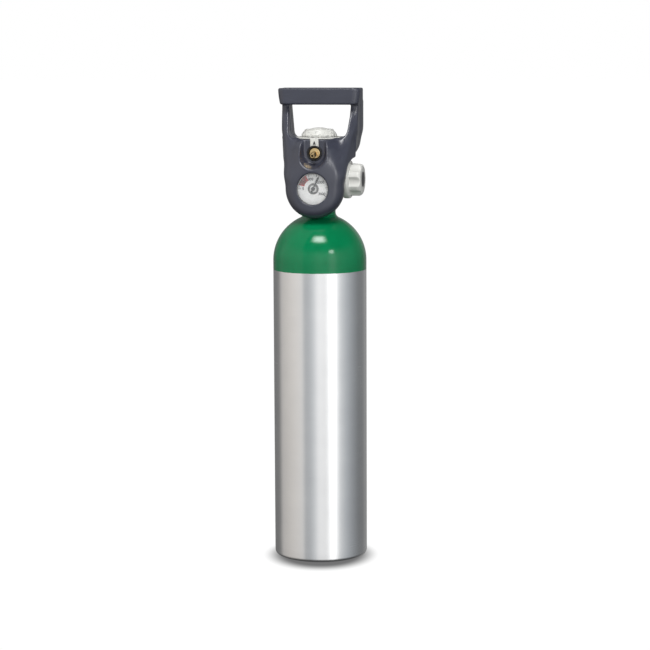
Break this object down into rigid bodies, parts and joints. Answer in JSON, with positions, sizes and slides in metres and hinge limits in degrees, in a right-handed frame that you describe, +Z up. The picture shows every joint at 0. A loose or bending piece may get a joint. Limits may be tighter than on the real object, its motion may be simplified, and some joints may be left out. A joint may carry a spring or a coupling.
{
  "type": "portable gas cylinder with valve and carrying cover",
  "caption": "Upright aluminium gas cylinder with a shut-off valve, regulator, contents gauge, flow knob, hose barb and filling port under a plastic cover with a carrying bar.",
  "frame": {"origin": "centre of the tank's foot, on the surface it stands on", "axes": "+Z up along the tank's axis; the gauge and the hose outlet face -Y, the shut-off knob faces +X and the filling port faces +Y"},
  "size_m": [0.1111, 0.111, 0.56],
  "materials": {
    "aluminium": "brushed",
    "cover_plastic": "satin",
    "knob_plastic": "satin",
    "dark_plastic": "satin",
    "brass": "machined",
    "steel": "machined",
    "spring_steel": "polished",
    "rubber": "matte",
    "seat_plastic": "smooth",
    "dial": "matte",
    "pointer": "matte",
    "lens": "clear",
    "filter_bronze": "sintered",
    "copper": "drawn"
  },
  "bodies": {
    "root": {"tank": "aluminium", "neck_seal": "rubber", "valve_body": "brass", "inlet_filter": "filter_bronze", "shutoff_bonnet": "brass", "spindle_seal": "rubber", "stem_seal": "rubber", "piston_spring": "spring_steel", "regulator_cap": "aluminium", "cap_screws": "steel", "port_seal": "seat_plastic", "flow_spindle_seal": "rubber", "detent_balls": "steel", "detent_springs": "spring_steel", "index_collar": "knob_plastic", "hose_barb": "brass", "outlet_seal": "rubber", "outlet_grommet": "rubber", "gauge_case": "dark_plastic", "gauge_socket": "brass", "bourdon_tube": "copper", "gauge_dial": "dial", "gauge_lens": "lens", "fill_port": "brass", "fill_spring": "spring_steel", "fill_seal": "rubber", "relief_plug": "brass", "burst_disc": "steel", "mounting_plate": "steel", "plate_screws": "steel", "front_cover": "cover_plastic", "rear_cover": "cover_plastic", "cover_screws": "steel"},
    "shutoff_spindle": {"shutoff_spindle": "brass", "shutoff_knob": "knob_plastic", "shutoff_knob_screw": "steel", "shutoff_knob_cap": "dark_plastic", "thrust_washer": "seat_plastic"},
    "shutoff_plug": {"shutoff_plug": "brass", "shutoff_seat": "seat_plastic"},
    "piston": {"regulator_piston": "brass", "piston_seat": "seat_plastic", "piston_seals": "rubber"},
    "flow_knob": {"flow_knob": "knob_plastic", "flow_knob_screw": "steel", "flow_knob_crown": "knob_plastic", "flow_spindle": "brass", "orifice_disc": "steel"},
    "pointer": {"gauge_pointer": "pointer"},
    "fill_poppet": {"fill_poppet": "brass"},
    "fill_cap": {"fill_cap": "dark_plastic"}
  },
  "joints": [
    {"name": "shutoff_turn", "type": "hinge", "parent": "root", "child": "shutoff_spindle", "pos_m": [0.03, 0, 0.453], "axis": [1, 0, 0], "range_deg": [0, 540]},
    {"name": "plug_travel", "type": "slide", "parent": "shutoff_spindle", "child": "shutoff_plug", "axis": [1, 0, 0], "range_m": [0, 0.0019]},
    {"name": "piston_travel", "type": "slide", "parent": "root", "child": "piston", "axis": [0, 0, 1], "range_m": [-0.0004, 0], "stiffness_N_per_m": 20000, "springref_m": 0.0002, "deforming": ["piston_spring"]},
    {"name": "flow_turn", "type": "hinge", "parent": "root", "child": "flow_knob", "pos_m": [0, 0, 0.503], "axis": [0, 0, 1], "range_deg": [0, 330]},
    {"name": "pointer_turn", "type": "hinge", "parent": "root", "child": "pointer", "pos_m": [0, -0.037, 0.4437], "axis": [0, 1, 0], "range_deg": [-116, 94], "stiffness_Nm_per_rad": 0.0005},
    {"name": "fill_poppet_travel", "type": "slide", "parent": "root", "child": "fill_poppet", "axis": [0, 1, 0], "range_m": [-0.002, 0], "stiffness_N_per_m": 800, "springref_m": 0.002, "deforming": ["fill_spring"]},
    {"name": "fill_cap_pull", "type": "slide", "parent": "root", "child": "fill_cap", "axis": [0, 1, 0], "range_m": [0, 0.015]}
  ],
  "couplings": [
    {"joint": "plug_travel", "follows": "shutoff_turn", "m_per_rad": 0.00020159}
  ]
}
